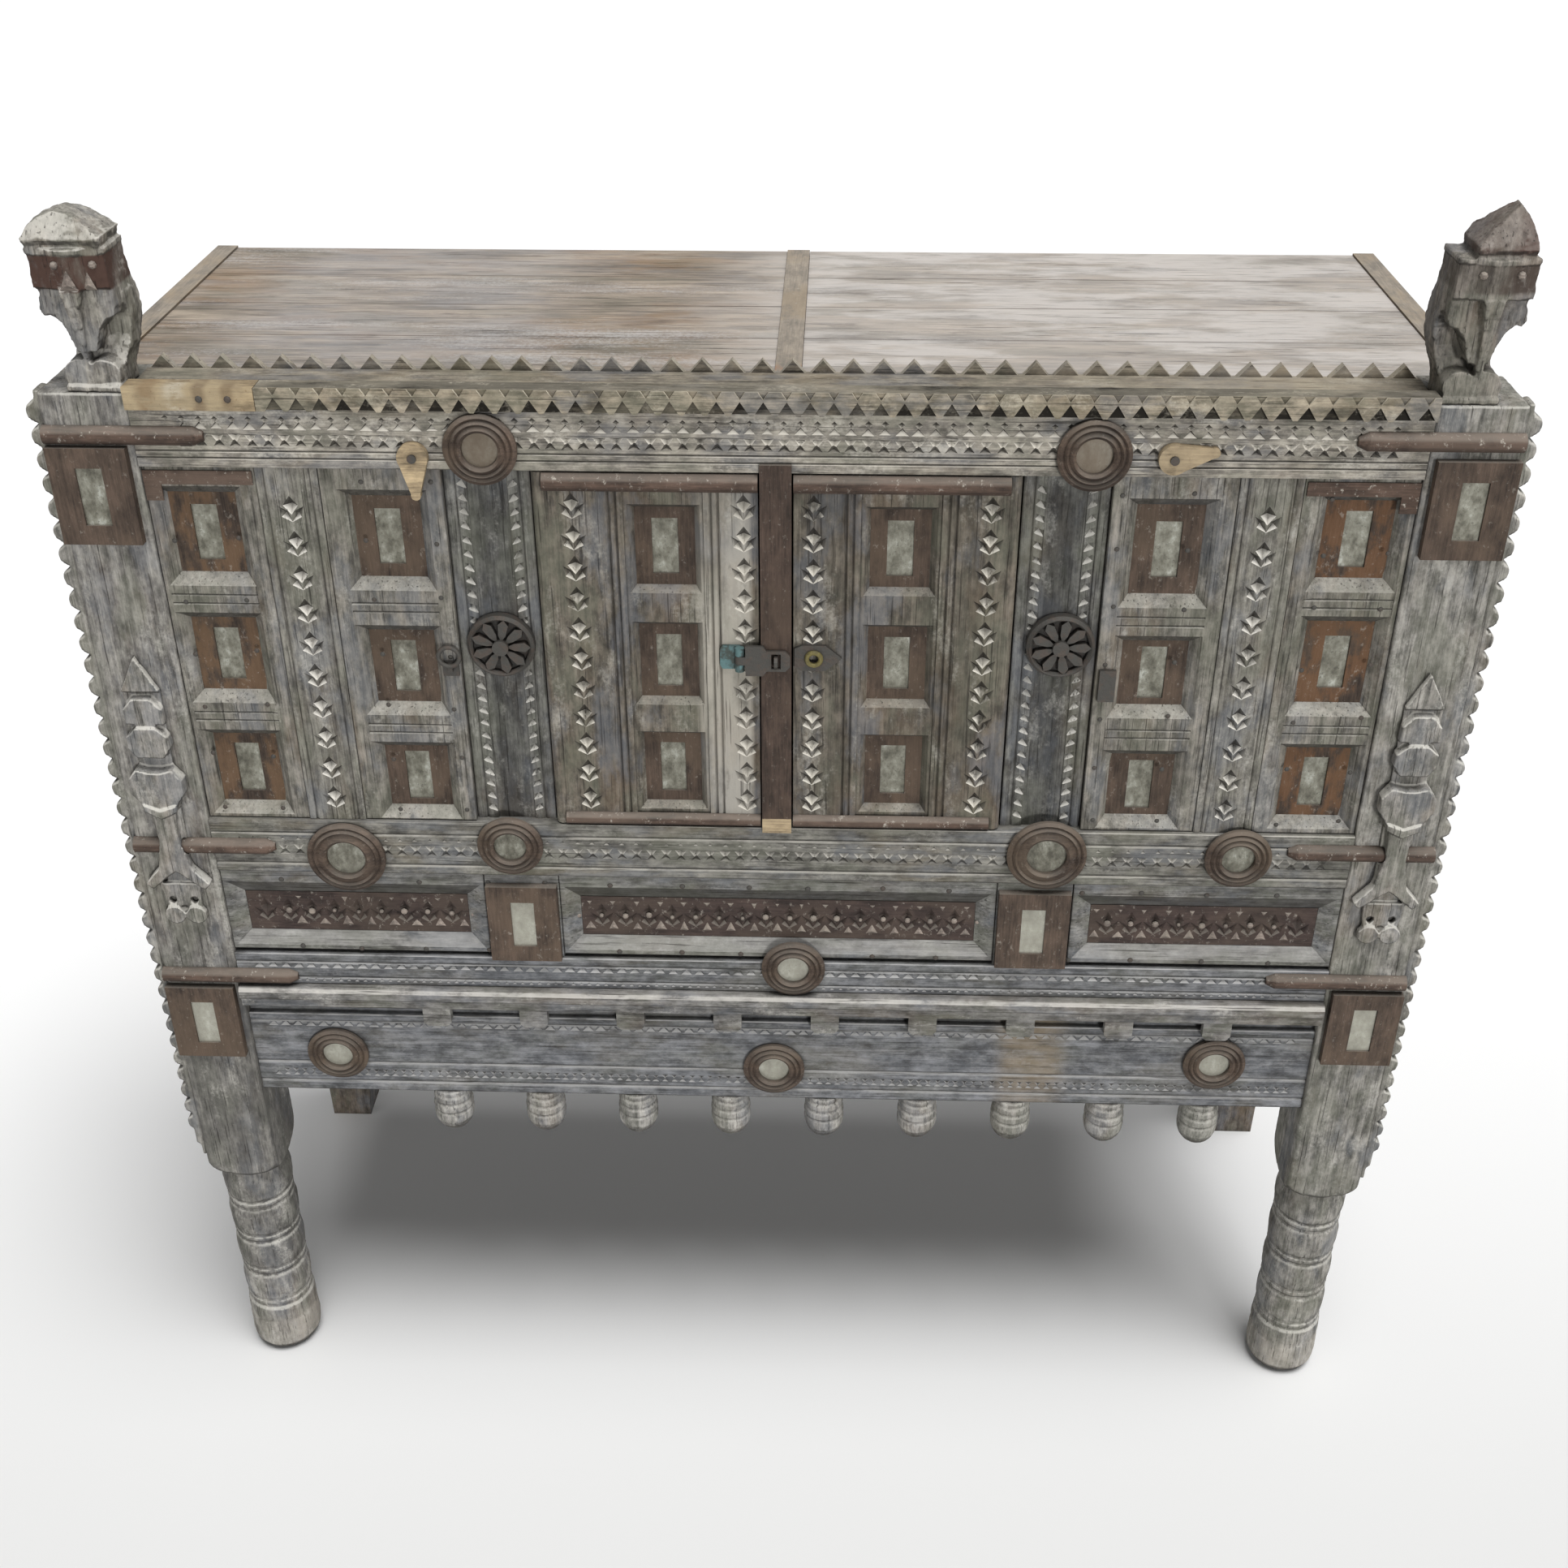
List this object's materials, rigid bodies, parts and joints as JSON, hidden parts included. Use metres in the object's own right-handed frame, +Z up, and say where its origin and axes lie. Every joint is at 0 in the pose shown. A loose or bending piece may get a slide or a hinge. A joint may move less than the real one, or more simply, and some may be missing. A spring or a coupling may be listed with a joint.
{
  "type": "dowry chest",
  "caption": "Carved wooden dowry chest on turned legs, with two pivoted front leaves, a hasp, wooden turn buttons, mirror plaques and carved post finials.",
  "frame": {"origin": "on the floor under the middle of the chest's bounding box", "axes": "+Z up, the carved front faces -Y, +X to the right of a person who faces the front"},
  "size_m": [1.208, 0.456, 1.258],
  "materials": {
    "grey_wood": "weathered, bleached grey",
    "pale_wood": "limewashed, carved",
    "dark_wood": "old brown boards under worn limewash",
    "rust_wood": "stained rust brown",
    "new_wood": "unfinished new wood",
    "mirror_glass": "tarnished old mirror",
    "dark_iron": "forged, rusted dark",
    "verdigris_brass": "verdigris",
    "old_brass": "dull old brass"
  },
  "bodies": {
    "case": {"post_front_left": "grey_wood", "post_front_right": "grey_wood", "post_back_left": "grey_wood", "post_back_right": "grey_wood", "finial_left": "pale_wood", "finial_right": "pale_wood", "edge_strips": "pale_wood", "top_rail": "grey_wood", "mid_rail": "grey_wood", "lower_rail": "grey_wood", "ledge": "pale_wood", "apron": "grey_wood", "cornice_lower": "grey_wood", "cornice_patch": "new_wood", "cornice_shelf": "grey_wood", "cornice_sawtooth": "grey_wood", "top_boards": "dark_wood", "top_centre_strip": "rust_wood", "top_end_battens": "rust_wood", "shell_rails": "dark_wood", "side_boards": "grey_wood", "back_boards": "dark_wood", "floor_boards": "dark_wood", "bearers": "dark_wood", "jambs": "grey_wood", "centre_mullion": "dark_wood", "centre_lath": "rust_wood", "lath_block": "new_wood", "panel_frames": "pale_wood", "chip_strips": "pale_wood", "panel_plaques": "rust_wood", "panel_mirrors": "mirror_glass", "corner_straps": "rust_wood", "frieze_board": "grey_wood", "frieze_frames": "pale_wood", "frieze_panels": "rust_wood", "case_plaques": "rust_wood", "case_mirrors": "mirror_glass", "roundels": "rust_wood", "flower_bosses": "dark_iron", "corner_bars": "rust_wood", "appliques": "pale_wood", "pendants": "pale_wood", "iron_eyes": "dark_iron", "button_nails": "dark_iron"},
    "door_left": {"door_left_leaf": "grey_wood", "door_left_plaques": "rust_wood", "door_left_mirrors": "mirror_glass", "door_left_bars": "rust_wood", "hasp_hinge": "verdigris_brass"},
    "door_right": {"door_right_leaf": "grey_wood", "door_right_plaques": "rust_wood", "door_right_mirrors": "mirror_glass", "door_right_bars": "rust_wood", "eye_plate": "dark_iron", "eye_ring": "old_brass"},
    "hasp": {"hasp": "dark_iron"},
    "button_left": {"button_left": "new_wood"},
    "button_right": {"button_right": "new_wood"}
  },
  "joints": [
    {"name": "door_left", "type": "hinge", "parent": "case", "child": "door_left", "pos_m": [-0.1935, -0.205, 0.875], "axis": [0, 0, -1], "range_deg": [0, 100]},
    {"name": "door_right", "type": "hinge", "parent": "case", "child": "door_right", "pos_m": [0.1935, -0.205, 0.875], "axis": [0, 0, 1], "range_deg": [0, 100]},
    {"name": "hasp", "type": "hinge", "parent": "door_left", "child": "hasp", "pos_m": [-0.031, -0.216, 0.878], "axis": [0, 0, -1], "range_deg": [0, 150]},
    {"name": "button_left", "type": "hinge", "parent": "case", "child": "button_left", "pos_m": [-0.292, -0.2158, 1.057], "axis": [0, 1, 0], "range_deg": [0, 180]},
    {"name": "button_right", "type": "hinge", "parent": "case", "child": "button_right", "pos_m": [0.317, -0.2158, 1.062], "axis": [0, 1, 0], "range_deg": [-50, 101]}
  ]
}
